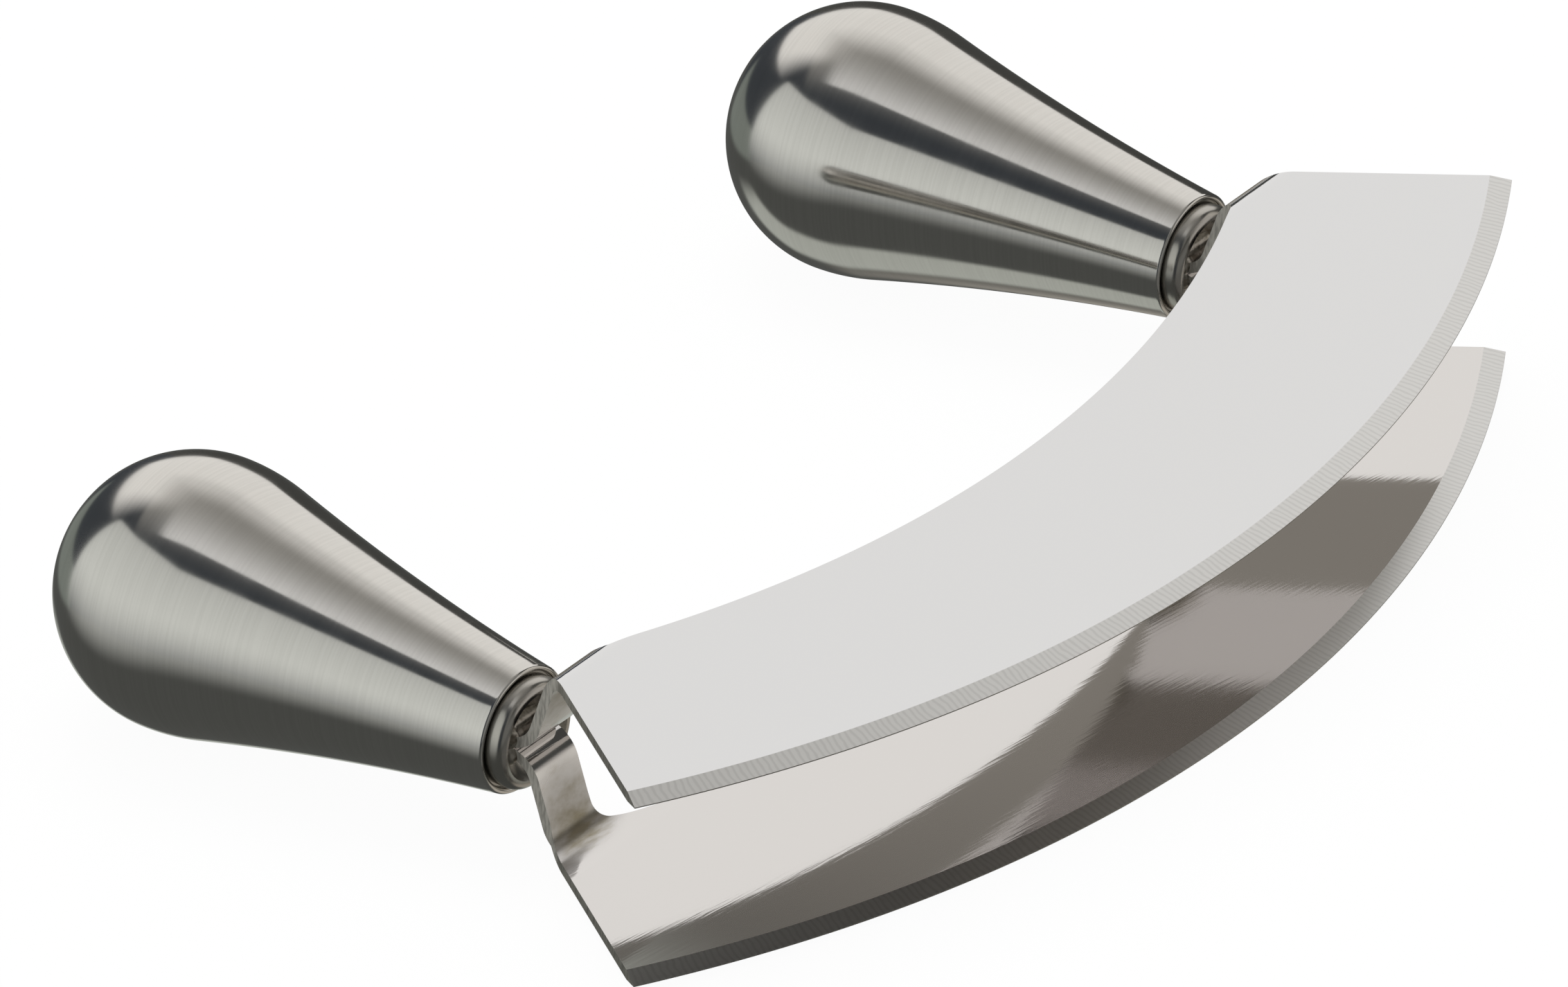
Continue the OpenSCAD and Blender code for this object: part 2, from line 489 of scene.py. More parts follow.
class Shading:
    """The nodes of a material or of the world."""

    def __init__(self, owner: bpy.types.ID) -> None:
        """Empties the node tree.

        Args:
            owner: the material or the world that it belongs to.
        """
        owner.use_nodes = True
        self.tree = owner.node_tree
        self.tree.nodes.clear()

    def add(self, kind: str, inputs: dict) -> bpy.types.NodeOutputs:
        """Adds a node with its settings and its links.

        Args:
            kind: Blender's name for the node, without its first word.
            inputs: values by property name, or by input name or number, and the sockets that feed inputs.

        Returns:
            The node's outputs.
        """
        node = self.tree.nodes.new("ShaderNode" + kind)
        for key, value in inputs.items():
            if isinstance(value, NodeSocket):
                self.tree.links.new(value, node.inputs[key])
            elif isinstance(key, str) and hasattr(node, key):
                setattr(node, key, value)
            else:
                node.inputs[key].default_value = value
        return node.outputs

    def lines(self, place: NodeSocket, pitch_mm: tuple, detail: float = 2.0) -> NodeSocket:
        """Makes a noise that is stretched along the way the tool went.

        Args:
            place: the point's own place in millimetres.
            pitch_mm: how far apart the marks lie along each axis.
            detail: how many finer layers the noise has.

        Returns:
            A value from 0 to 1, most of it near the middle.
        """
        scale = tuple(1 / pitch for pitch in pitch_mm)
        stretched = self.add("VectorMath", {"operation": "MULTIPLY", 0: place, 1: scale})[0]
        return self.add("TexNoise", {"Scale": 1.0, "Detail": detail, "Vector": stretched})[0]


@dataclass(frozen=True)
class Steel:
    """What every steel finish here shares: a metal with its colour, its shine and its marks.

    The marks follow the piece's own place in millimetres, which each mesh carries with it.
    """

    name: str
    colour: str
    roughness: float
    anisotropic: float = 0.0
    groove_mm: float = 0.0
    mark_mm: tuple = (1, 1, 1)
    mark_detail: float = 2.0
    tones: tuple = ()
    tone_range: tuple = (0, 1)

    def build(self) -> Material:
        """Makes the material.

        Returns:
            The new material.
        """
        material = bpy.data.materials.new(self.name)
        paint = Shading(material)
        metal = paint.add("BsdfPrincipled", {
            "Base Color": linear_colour(self.colour), "Metallic": 1.0,
            "Roughness": self.roughness, "Anisotropic": self.anisotropic})[0]
        paint.add("OutputMaterial", {"Surface": metal})
        marks = self.marks(paint, paint.add("Attribute", {"attribute_name": PLACE})["Vector"])
        marks["Normal"] = paint.add("Bump", {
            "Strength": 1.0, "Distance": self.groove_mm * MM, "Height": marks.pop("groove")})[0]
        if self.tones:
            low, high = (linear_colour(tone) for tone in self.tones)
            marks["Base Color"] = paint.add("Mix", {
                "data_type": "RGBA", 0: marks.pop("tone"), 6: low, 7: high})[2]
        for name, socket in marks.items():
            paint.tree.links.new(socket, metal.node.inputs[name])
        return material

    def marks(self, paint: Shading, place: NodeSocket) -> dict:
        """Draws the marks that the tools left on the metal, first of all their lines.

        Args:
            paint: the material's nodes.
            place: the point's own place in millimetres.

        Returns:
            The grooves' height, the share of the second tone, and what feeds other inputs of the metal.
        """
        noise = paint.lines(place, self.mark_mm, self.mark_detail)
        low, high = self.tone_range
        return {"groove": noise, "tone": paint.add("MapRange", {**SOFT, 0: noise, 1: low, 2: high})[0]}


@dataclass(frozen=True)
class BrushedHandleSteel(Steel):
    """Drawn stainless steel, brushed round its axis: soft along the handle and sharp across it."""

    name: str = "stainless_steel_brushed_round"
    colour: str = "#D2D0CC"
    roughness: float = 0.13
    anisotropic: float = 0.6
    groove_mm: float = 0.00012
    # A belt's lines lie about 0.05 mm apart; these are as coarse as they need to be to show
    mark_mm: tuple = (30, 0.35, 30)
    mark_detail: float = 4.0
    tones: tuple = ("#D0CECA", "#D5D3CF")
    tone_range: tuple = (0.3, 0.7)
    band_mm: tuple = (60, 5, 60)
    roughness_swing: float = 0.02

    def marks(self, paint: Shading, place: NodeSocket) -> dict:
        """Draws the hairlines that the belt leaves round the handle.

        Args:
            paint: the material's nodes.
            place: the point's own place in millimetres.

        Returns:
            What feeds the metal.
        """
        low, high = self.tone_range
        marks = super().marks(paint, place)
        marks["Roughness"] = paint.add("MapRange", {
            **SOFT, 0: paint.lines(place, self.band_mm), 1: low, 2: high,
            3: self.roughness - self.roughness_swing, 4: self.roughness + self.roughness_swing})[0]
        marks["Tangent"] = paint.add("Tangent", {"direction_type": "UV_MAP", "uv_map": "turned"})[0]
        return marks


@dataclass(frozen=True)
class TurnedCapSteel(Steel):
    """Turned stainless steel: the lathe's rings in its dish soften what it mirrors."""

    name: str = "stainless_steel_turned"
    colour: str = "#A9A6A0"
    roughness: float = 0.24
    groove_mm: float = 0.004
    mark_mm: tuple = (4, 4, 4)
    mark_detail: float = 3.0
    tones: tuple = ("#A5A19A", "#C6C4BF")
    tone_range: tuple = (0.35, 0.65)
    ring_mm: float = 0.25

    def marks(self, paint: Shading, place: NodeSocket) -> dict:
        """Draws stains, and the turning marks as rings about the axis.

        Args:
            paint: the material's nodes.
            place: the point's own place in millimetres.

        Returns:
            What feeds the metal.
        """
        marks = super().marks(paint, place)
        flat = paint.add("VectorMath", {"operation": "MULTIPLY", 0: place, 1: (1, 0, 1)})[0]
        radius = paint.add("VectorMath", {"operation": "LENGTH", 0: flat})["Value"]
        marks["groove"] = paint.add("TexNoise", {
            "noise_dimensions": "1D", "Scale": 1 / self.ring_mm, "Detail": 2.0, "W": radius})[0]
        return marks


@dataclass(frozen=True)
class GroundBladeSteel(Steel):
    """Stainless blade sheet, ground fine along its length: nearly a mirror, with hairlines in it."""

    name: str = "stainless_blade_sheet_fine_ground"
    colour: str = "#DCDDDF"
    # Painted shade: the inner faces, which face each other, get a warmer, slightly darker tone than the
    # outer ones
    inner_shade_colour: str = "#DBD9D8"
    roughness: float = 0.055
    groove_mm: float = 0.005
    # Fine grinding leaves lines about 0.03 mm apart; these are as coarse as they need to be to show
    mark_mm: tuple = (7, 0.45, 7)
    mark_detail: float = 3.0
    hair_turn: float = 8.5
    inside_z: tuple = (13.2, 13.8)
    splay: float = 4.6
    flat_y: float = 48
    # Painted shade: a brown-grey colour laid into the root crease of the tangs, on the inner faces only
    crease_shade_colour: str = "#A39B88"
    crease_shade_place: tuple = (76.2, 53.8, 0)
    crease_shade_squeeze: tuple = (0.6, 1.3, 0)
    crease_shade_reach: tuple = (2.5, 7.5)
    cloud_mm: tuple = (2.5, 0.6, 2.5)
    cloud_detail: float = 4.0
    ragged_mm: float = 5.0
    worn_reach: tuple = (3, 7)
    worn_roughness: float = 0.3

    def marks(self, paint: Shading, place: NodeSocket) -> dict:
        """Draws the grinder's hairlines, and paints shade into the sheet: a warmer, darker tone on the
        inner faces and a brown-grey patch in the tangs' root crease.

        The real blades are sprung a little apart towards their edges; here the inner faces' shading is
        sloped so that their mirror images show it.

        Args:
            paint: the material's nodes.
            place: the point's own place in millimetres.

        Returns:
            What feeds the metal.
        """
        turned = paint.add("VectorRotate", {
            "rotation_type": "Z_AXIS", "Angle": math.radians(self.hair_turn), "Vector": place})[0]
        hairs = paint.lines(turned, self.mark_mm, self.mark_detail)
        x, y, z = paint.add("SeparateXYZ", {0: place})
        inside = paint.add("MapRange", {
            **SOFT, 0: z, 1: self.inside_z[0], 2: self.inside_z[1], 3: 1, 4: 0})[0]
        flat_part = paint.add("Math", {"operation": "MINIMUM", 0: y, 1: self.flat_y})[0]
        steepness = math.tan(math.radians(self.splay)) / self.groove_mm
        slope = paint.add("Math", {"operation": "MULTIPLY", 0: flat_part, 1: steepness})[0]
        height = paint.add("Math", {"operation": "MULTIPLY_ADD", 0: slope, 1: inside, 2: hairs})[0]
        aside = paint.add("Math", {"operation": "ABSOLUTE", 0: x})[0]
        flat = paint.add("CombineXYZ", {0: aside, 1: y})[0]
        # Painted shade: a ragged brown-grey patch round the tangs' root crease, on the inner faces only
        offset = paint.add("VectorMath", {"operation": "SUBTRACT", 0: flat, 1: self.crease_shade_place})[0]
        squeezed = paint.add("VectorMath", {"operation": "MULTIPLY", 0: offset, 1: self.crease_shade_squeeze})[0]
        far = paint.add("VectorMath", {"operation": "LENGTH", 0: squeezed})["Value"]
        cloud = paint.lines(place, self.cloud_mm, self.cloud_detail)
        ragged = paint.add("Math", {"operation": "MULTIPLY_ADD", 0: cloud, 1: self.ragged_mm, 2: far})[0]
        crease_shade = paint.add("MapRange", {
            **SOFT, 0: ragged, 1: self.crease_shade_reach[0], 2: self.crease_shade_reach[1], 3: 1, 4: 0})[0]
        inner_crease_shade = paint.add("Math", {"operation": "MULTIPLY", 0: crease_shade, 1: inside})[0]
        # Painted shade: the inner faces take the warmer, darker tone
        sheet = paint.add("Mix", {
            "data_type": "RGBA", 0: inside, 6: linear_colour(self.colour),
            7: linear_colour(self.inner_shade_colour)})[2]
        # Painted shade: the crease's brown-grey patch goes over the sheet's tone
        shaded_sheet = paint.add("Mix", {
            "data_type": "RGBA", 0: inner_crease_shade, 6: sheet, 7: linear_colour(self.crease_shade_colour)})[2]
        worn = paint.add("MapRange", {
            **SOFT, 0: far, 1: self.worn_reach[0], 2: self.worn_reach[1], 3: self.worn_roughness, 4: 0})[0]
        crease = paint.add("Math", {
            "operation": "MULTIPLY_ADD", 0: worn, 1: inside, 2: self.roughness})[0]
        return {"groove": height, "Base Color": shaded_sheet, "Roughness": crease}


@dataclass(frozen=True)
class GroundBevelSteel(Steel):
    """The ground bevel: the wheel ran across the edge, and its marks side by side dull the shine."""

    name: str = "stainless_bevel_coarse_ground"
    colour: str = "#D2D2D0"
    roughness: float = 0.3
    groove_mm: float = 0.0007
    mark_mm: tuple = (4, 4, 4)
    tones: tuple = ("#CECECD", "#D9D9D8")
    tone_range: tuple = (0.08, 0.3)
    wheel_mm: float = 0.95
    drift: float = 1.6
    centre_y: float = 198

    def marks(self, paint: Shading, place: NodeSocket) -> dict:
        """Draws the wheel's marks, evenly spaced round the edge's arc.

        Args:
            paint: the material's nodes.
            place: the point's own place in millimetres.

        Returns:
            What feeds the metal.
        """
        centred = paint.add("VectorMath", {"operation": "SUBTRACT", 0: place, 1: (0, self.centre_y, 0)})[0]
        x, y, _ = paint.add("SeparateXYZ", {0: centred})
        turn = paint.add("Math", {"operation": "ARCTAN2", 0: y, 1: x})[0]
        marks_per_turn = self.centre_y / self.wheel_mm
        along = paint.add("Math", {"operation": "MULTIPLY", 0: turn, 1: marks_per_turn})[0]
        drifting = paint.lines(place, self.mark_mm, self.mark_detail)
        wander = paint.add("Math", {"operation": "MULTIPLY_ADD", 0: drifting, 1: self.drift, 2: along})[0]
        saw = paint.add("Math", {"operation": "PINGPONG", 0: wander, 1: 0.5})[0]
        low, high = self.tone_range
        marks = paint.add("MapRange", {**SOFT, 0: saw, 1: low, 2: high})[0]
        return {"groove": marks, "tone": marks}


@dataclass(frozen=True)
class ShearedSteel(Steel):
    """The blanked edge of the sheet: matt and dull, with the ridges that the press tool drew across it."""

    name: str = "stainless_edge_sheared"
    colour: str = "#A19E98"
    roughness: float = 0.5
    groove_mm: float = 0.006
    mark_mm: tuple = (0.35, 0.35, 2.0)
    tones: tuple = ("#A3A099", "#C6C3BB")
    tone_range: tuple = (0.35, 0.62)
    tang_y: float = 53
    tang_sheen: float = 0.7

    def marks(self, paint: Shading, place: NodeSocket) -> dict:
        """Draws the ridges, which run through the sheet's thickness, and makes the edges less metallic on
        the tangs.

        Args:
            paint: the material's nodes.
            place: the point's own place in millimetres.

        Returns:
            What feeds the metal.
        """
        marks = super().marks(paint, place)
        _, y, _ = paint.add("SeparateXYZ", {0: place})
        marks["Metallic"] = paint.add("MapRange", {
            **SOFT, 0: y, 1: self.tang_y - 1, 2: self.tang_y + 1, 3: 1, 4: self.tang_sheen})[0]
        return marks


@dataclass(frozen=True)
class WeldMetal(Steel):
    """Weld metal as it froze, wire-brushed: lumpy, with brown scale left in its hollows."""

    name: str = "weld_metal_wire_brushed"
    colour: str = "#8A857D"
    roughness: float = 0.34
    groove_mm: float = 0.06
    mark_mm: tuple = (1.1, 1.1, 1.1)
    mark_detail: float = 4.0
    tones: tuple = ("#766E63", "#B0ABA2")
    tone_range: tuple = (0.35, 0.6)


@dataclass
class Blade:
    """One crescent of sheet with its two folded tangs."""

    sizes: Sizes
    rest: Rest
    sheet: Steel = GroundBladeSteel()
    bevel: Steel = GroundBevelSteel()
    sheared: Steel = ShearedSteel()
    arc_steps: int = 150
    full_turn_steps: int = 720
    bend_steps: int = 24
    root_steps: int = 24
    overrun: float = 2
    rounding: float = 0.12
    rounding_steps: int = 2
    rounding_degrees: float = 60
    sharp_degrees: float = 10
    bevel_upright: tuple = (0.9, 0.995)
    edge_upright: float = 0.1
    end_across: float = 0.05

    def folded_sheet(self) -> Object:
        """Draws the folded sheet from the side and pulls it out to the blade's full length.

        Returns:
            The folded sheet, wider than the blade all round.
        """
        s = self.sizes
        turn = math.radians(s.bend_angle)
        out_r = s.bend_r + s.sheet_t
        x = -s.tip_x - 2 * s.tip_y
        root = Vector((x, s.fold_y, s.half_pitch - s.bend_mid_r))
        mid = Vector((x, s.level_y, s.sheet_t + s.bend_r))
        up = Vector((0, 0, 1))
        lean = Vector((0, math.sin(turn), math.cos(turn)))
        axis = (1, 0, 0)
        start = (x, -self.overrun, s.half_pitch + s.sheet_t / 2)
        line = Outline("folded_sheet", start)
        line.line_to(root + up * out_r)
        line.arc_to(root, root + lean * out_r, self.bend_steps, axis)
        line.line_to(mid - lean * s.bend_r)
        line.arc_to(mid, mid - up * s.bend_r, self.bend_steps, axis)
        line.line_to((x, s.tang_end_y, s.sheet_t), (x, s.tang_end_y, 0), mid - up * out_r)
        line.arc_to(mid, mid - lean * out_r, self.bend_steps, axis)
        line.line_to(root + lean * s.bend_r)
        line.arc_to(root, root + up * s.bend_r, self.bend_steps, axis)
        line.line_to((x, -self.overrun, s.half_pitch - s.sheet_t / 2), start)
        return line.prism((-2 * x, 0, 0))

    def plan(self) -> Object:
        """Draws the outline of the blade and its tangs, as the press tool cuts it.

        Returns:
            A prism of that outline through the whole height.
        """
        s = self.sizes
        z = -self.overrun
        edge_centre = (0, s.edge_radius, z)
        back_centre = Vector((0, s.back_centre_y, z))
        root_x = s.tang_in_x - s.root_r
        root_y = s.back_centre_y - math.sqrt((s.back_radius - s.root_r) ** 2 - root_x ** 2)
        right_root = Vector((root_x, root_y, z))
        left_root = Vector((-root_x, root_y, z))
        meet_right = back_centre + (right_root - back_centre).normalized() * s.back_radius
        meet_left = back_centre + (left_root - back_centre).normalized() * s.back_radius
        line = Outline("plan", (-s.tip_x, s.tip_y, z))
        line.arc_to(edge_centre, (s.tip_x, s.tip_y, z), self.arc_steps)
        line.line_to((s.tang_out_x, s.foot_y, z), (s.tang_out_x, s.tang_end_y, z),
                     (s.tang_in_x, s.tang_end_y, z), (s.tang_in_x, root_y, z))
        line.arc_to(right_root, meet_right, self.root_steps)
        line.arc_to(back_centre, meet_left, self.arc_steps)
        line.arc_to(left_root, (-s.tang_in_x, root_y, z), self.root_steps)
        line.line_to((-s.tang_in_x, s.tang_end_y, z), (-s.tang_out_x, s.tang_end_y, z),
                     (-s.tang_out_x, s.foot_y, z), (-s.tip_x, s.tip_y, z))
        return line.prism((0, 0, s.blade_pitch))

    def grinding(self, face: int) -> Object:
        """Turns the ring that stands for what the grinding wheel takes off one face.

        Args:
            face: 1 for the outer face, -1 for the inner one.

        Returns:
            The ring, to be cut away.
        """
        s = self.sizes
        slope = (s.sheet_t - s.edge_t) / 2 / s.bevel_w
        low = s.half_pitch + face * (s.sheet_t / 2 - (s.bevel_w + self.overrun) * slope)
        high = s.half_pitch + face * s.sheet_t
        start = (0, s.bevel_w, s.half_pitch + face * s.sheet_t / 2)
        line = Outline("grinding", start)
        line.line_to((0, s.bevel_w, high), (0, -self.overrun, high), (0, -self.overrun, low), start)
        return line.turned(self.full_turn_steps, (0, 0, 1), (0, s.edge_radius, 0))

    def build(self) -> list:
        """Makes the upper blade and copies it, mirrored, as the lower one.

        Returns:
            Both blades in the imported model's frame.
        """
        upper = self.folded_sheet()
        boolean(upper, self.plan(), "INTERSECT")
        for face in (1, -1):
            boolean(upper, self.grinding(face), "DIFFERENCE")
        tidy(upper)
        upper.name = Level.UPPER.value + "_blade_sheet"
        self.assign(upper)
        self.round_edges(upper)
        note_place(upper)
        lower = mirrored(upper, Level.LOWER.value + "_blade_sheet", (0, 0, 1))
        pieces = []
        for piece, level in ((upper, Level.UPPER), (lower, Level.LOWER)):
            part = Part(level.value + "_blade", "blade_steel", self.sharp_degrees)
            pieces.append(lay_down(piece, self.rest, part))
        return pieces

    def assign(self, piece: Object) -> None:
        """Gives each face its finish: flat sheet, ground bevel or sheared edge.

        Args:
            piece: the blade, still in the maker's frame.
        """
        s = self.sizes
        for finish in (self.sheet, self.bevel, self.sheared):
            piece.data.materials.append(finish.build())
        steepest, flattest = self.bevel_upright
        for face in piece.data.polygons:
            upright = abs(face.normal.z)
            far = math.hypot(face.center.x, face.center.y - s.edge_radius)
            if far > s.edge_radius - s.bevel_w and steepest < upright < flattest:
                face.material_index = 1
            elif upright < self.edge_upright and (
                    abs(face.normal.x) > self.end_across or face.center.y < s.fold_y):
                face.material_index = 2

    def round_edges(self, piece: Object) -> None:
        """Rounds the long edges of the sheet, as tumbling leaves them.

        Args:
            piece: the blade, still in the maker's frame.
        """
        soften = piece.modifiers.new("soften", "BEVEL")
        soften.limit_method = "ANGLE"
        soften.angle_limit = math.radians(self.rounding_degrees)
        soften.width = self.rounding
        soften.segments = self.rounding_steps
        soften.use_clamp_overlap = True
        level = piece.modifiers.new("level", "WEIGHTED_NORMAL")
        level.keep_sharp = True
        finish_modifiers(piece)


@dataclass
class Handle:
    """A hollow handle: its shell, its end cap and the weld that holds the tangs.

    Each is made for the right side and copied, mirrored, for the left one.
    """

    sizes: Sizes
    rest: Rest
    shell_steel: Steel = BrushedHandleSteel()
    cap_steel: Steel = TurnedCapSteel()
    weld_metal: Steel = WeldMetal()
    turn_steps: int = 192
    bulb_steps: int = 56
    shoulder_steps: int = 14
    neck_steps: int = 40
    lip_steps: int = 10
    inside_share: float = 0.4
    dish_steps: int = 24
    ring_steps: int = 16
    bead_sides: int = 48
    lump_sides: int = 32
    lump_height_share: float = 0.85
    voxel_mm: float = 0.16
    relax_rounds: int = 6

    def build(self) -> list:
        """Makes all pieces of both handles.

        Returns:
            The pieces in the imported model's frame.
        """
        pieces = []
        for make, name, node, slot, degrees in (
                (self.shell, "_shell", "_handle_shell", "handle_steel", 40),
                (self.cap, "_cap", "_end_cap", "cap_steel", 30),
                (self.weld, "_weld", "_tang_weld", "weld_metal", 60)):
            right = make()
            right.name = Side.RIGHT.value + name
            left = mirrored(right, Side.LEFT.value + name, (1, 0, 0))
            for piece, side in ((right, Side.RIGHT), (left, Side.LEFT)):
                pieces.append(lay_down(piece, self.rest, Part(side.value + node, slot, degrees)))
        return pieces

    def pear(self, inset: float) -> tuple:
        """Works out the points that the pear's arcs meet in.

        Args:
            inset: how far inside the outer surface the line runs.

        Returns:
            The centres of neck and shoulder, the point where neck and shoulder meet, and the neck's start.
        """
        s = self.sizes
        shoulder = Vector((s.bulb_r - s.shoulder_r, s.bulb_reach, 0))
        mouth = Vector((s.mouth_r, s.shell_t / 2, 0))
        to_mouth = mouth - shoulder
        reach = s.neck_r + s.shoulder_r
        along = (reach ** 2 - s.neck_r ** 2 + to_mouth.length ** 2) / (2 * to_mouth.length)
        across = math.sqrt(reach ** 2 - along ** 2)
        direction = to_mouth.normalized()
        neck = shoulder + direction * along + Vector((-direction.y, direction.x, 0)) * across
        meet = shoulder + (neck - shoulder).normalized() * (s.shoulder_r - inset)
        start_y = s.shell_t / 2 if inset == 0 else s.land_depth
        radius = s.neck_r + inset
        start = Vector((neck.x - math.sqrt(radius ** 2 - (start_y - neck.y) ** 2), start_y, 0))
        return neck, shoulder, meet, start

    def shell(self) -> Object:
        """Turns the hollow shell with its rounded lip.

        Returns:
            The right shell in the maker's frame.
        """
        s = self.sizes
        centre = (0, s.bulb_reach, 0)
        neck, shoulder, meet, start = self.pear(s.shell_t)
        inner_r = s.bulb_r - s.shell_t
        share = self.inside_share
        line = Outline("shell", (0, s.bulb_reach + inner_r, 0))
        line.arc_to(centre, (inner_r, s.bulb_reach, 0), int(self.bulb_steps * share))
        line.arc_to(shoulder, meet, int(self.shoulder_steps * share))
        line.arc_to(neck, start, int(self.neck_steps * share))
        line.line_to((s.bore_r, s.land_depth, 0), (s.bore_r, s.shell_t / 2, 0))
        lip = (s.bore_r + s.shell_t / 2, s.shell_t / 2, 0)
        line.arc_to(lip, (s.bore_r + s.shell_t / 2, 0, 0), self.lip_steps)
        line.arc_to(lip, (s.mouth_r, s.shell_t / 2, 0), self.lip_steps)
        neck, shoulder, meet, start = self.pear(0)
        line.arc_to(neck, meet, self.neck_steps)
        line.arc_to(shoulder, (s.bulb_r, s.bulb_reach, 0), self.shoulder_steps)
        line.arc_to(centre, (0, s.bulb_reach + s.bulb_r, 0), self.bulb_steps)
        piece = line.turned(self.turn_steps)
        note_place(piece)
        unwrap_turned(piece)
        piece.data.materials.append(self.shell_steel.build())
        put(piece, self.rest.handle)
        return piece

    def cap(self) -> Object:
        """Turns the end cap with its ring and its dish, and cuts the slot for the tangs.

        Returns:
            The right cap in the maker's frame.
        """
        s = self.sizes
        cap_r = s.bore_r - s.groove_w
        dish_r = cap_r - s.rim_w
        ball_r = (dish_r ** 2 + s.dish_depth ** 2) / (2 * s.dish_depth)
        bottom = s.dish_depth - s.ring_out
        ring_x = cap_r - s.ring_r
        ring_y = s.ring_r - s.ring_out
        skirt_r = s.bore_r - s.cap_fit
        back = bottom + s.cap_floor
        line = Outline("cap", (0, bottom, 0))
        line.arc_to((0, bottom - ball_r, 0), (dish_r, -s.ring_out, 0), self.dish_steps)
        line.line_to((ring_x, -s.ring_out, 0))
        line.arc_to((ring_x, ring_y, 0), (cap_r, ring_y, 0), self.ring_steps)
        line.line_to((cap_r, s.groove_depth, 0), (skirt_r, s.groove_depth, 0), (skirt_r, s.skirt_depth, 0),
                     (skirt_r - s.skirt_t, s.skirt_depth, 0), (skirt_r - s.skirt_t, back, 0), (0, back, 0))
        piece = line.turned(self.turn_steps)
        note_place(piece)
        put(piece, self.rest.handle)
        bpy.ops.mesh.primitive_cube_add(
            size=2, location=(s.tang_x, s.mouth_y + s.skirt_depth - s.ring_out, 0),
            scale=(s.tang_w / 2 + s.slot_fit, s.skirt_depth + s.ring_out, s.sheet_t + s.slot_fit))
        boolean(piece, bpy.context.object, "DIFFERENCE")
        piece.data.materials.clear()
        piece.data.materials.append(self.cap_steel.build())
        return piece

    def weld(self) -> Object:
        """Builds the weld metal from lumps that run into each other.

        Returns:
            The right weld in the maker's frame.
        """
        s = self.sizes
        clear()
        lumps = []
        for face in (-1, 1):
            bpy.ops.mesh.primitive_cylinder_add(
                vertices=self.bead_sides, radius=s.bead_r, depth=s.tang_w,
                location=(s.tang_x, s.mouth_y, face * (s.sheet_t + s.bead_r / 2)),
                rotation=(0, math.pi / 2, 0))
            lumps.append(bpy.context.object)
            for end in (-1, 1):
                bpy.ops.mesh.primitive_uv_sphere_add(
                    segments=self.lump_sides, ring_count=self.lump_sides // 2, radius=s.lump_r,
                    location=(s.tang_x + end * s.tang_w / 2, s.mouth_y - s.lump_r / 2,
                              face * s.lump_r * self.lump_height_share))
                lumps.append(bpy.context.object)
        pick(lumps[0])
        for lump in lumps:
            lump.select_set(True)
        bpy.ops.object.join()
        piece = bpy.context.object
        bpy.ops.object.transform_apply(location=True, rotation=True, scale=True)
        merge = piece.modifiers.new("merge", "REMESH")
        merge.mode = "VOXEL"
        merge.voxel_size = self.voxel_mm
        relax = piece.modifiers.new("relax", "SMOOTH")
        relax.iterations = self.relax_rounds
        finish_modifiers(piece)
        piece.data.materials.clear()
        piece.data.materials.append(self.weld_metal.build())
        note_place(piece)
        return piece


@dataclass(frozen=True)
class Camera:
    """Where the photographer stood, and the lens."""

    azimuth: float = -53.0014
    elevation: float = 29.9144
    roll: float = -1.5523
    distance: float = 2.286587
    aim: tuple = (0.0, -0.008139, 0.016665)
    aim_px: tuple = (1276.02, 714.14)
    focal_px: float = 24747.3
    sensor_mm: float = 36.0
    clip_start: float = 0.01

    def build(self) -> None:
        """Makes the camera and looks through it."""
        az = math.radians(self.azimuth)
        el = math.radians(self.elevation)
        back = Vector((math.sin(az) * math.cos(el), -math.cos(az) * math.cos(el), math.sin(el)))
        level = Vector((0, 0, 1)).cross(back).normalized()
        upright = back.cross(level)
        roll = math.radians(self.roll)
        right = level * math.cos(roll) + upright * math.sin(roll)
        up = upright * math.cos(roll) - level * math.sin(roll)
        aside = (self.aim_px[0] - PICTURE_PX[0] / 2) / self.focal_px * self.distance
        below = (self.aim_px[1] - PICTURE_PX[1] / 2) / self.focal_px * self.distance
        place = Vector(self.aim) + back * self.distance - right * aside + up * below
        data = bpy.data.cameras.new("camera")
        data.sensor_width = self.sensor_mm
        data.lens = self.focal_px / PICTURE_PX[0] * self.sensor_mm
        data.clip_start = self.clip_start
        camera = bpy.data.objects.new("camera", data)
        turn = Matrix((right, up, back)).transposed().to_4x4()
        camera.matrix_world = Matrix.Translation(place) @ turn
        bpy.context.scene.collection.objects.link(camera)
        bpy.context.scene.camera = camera


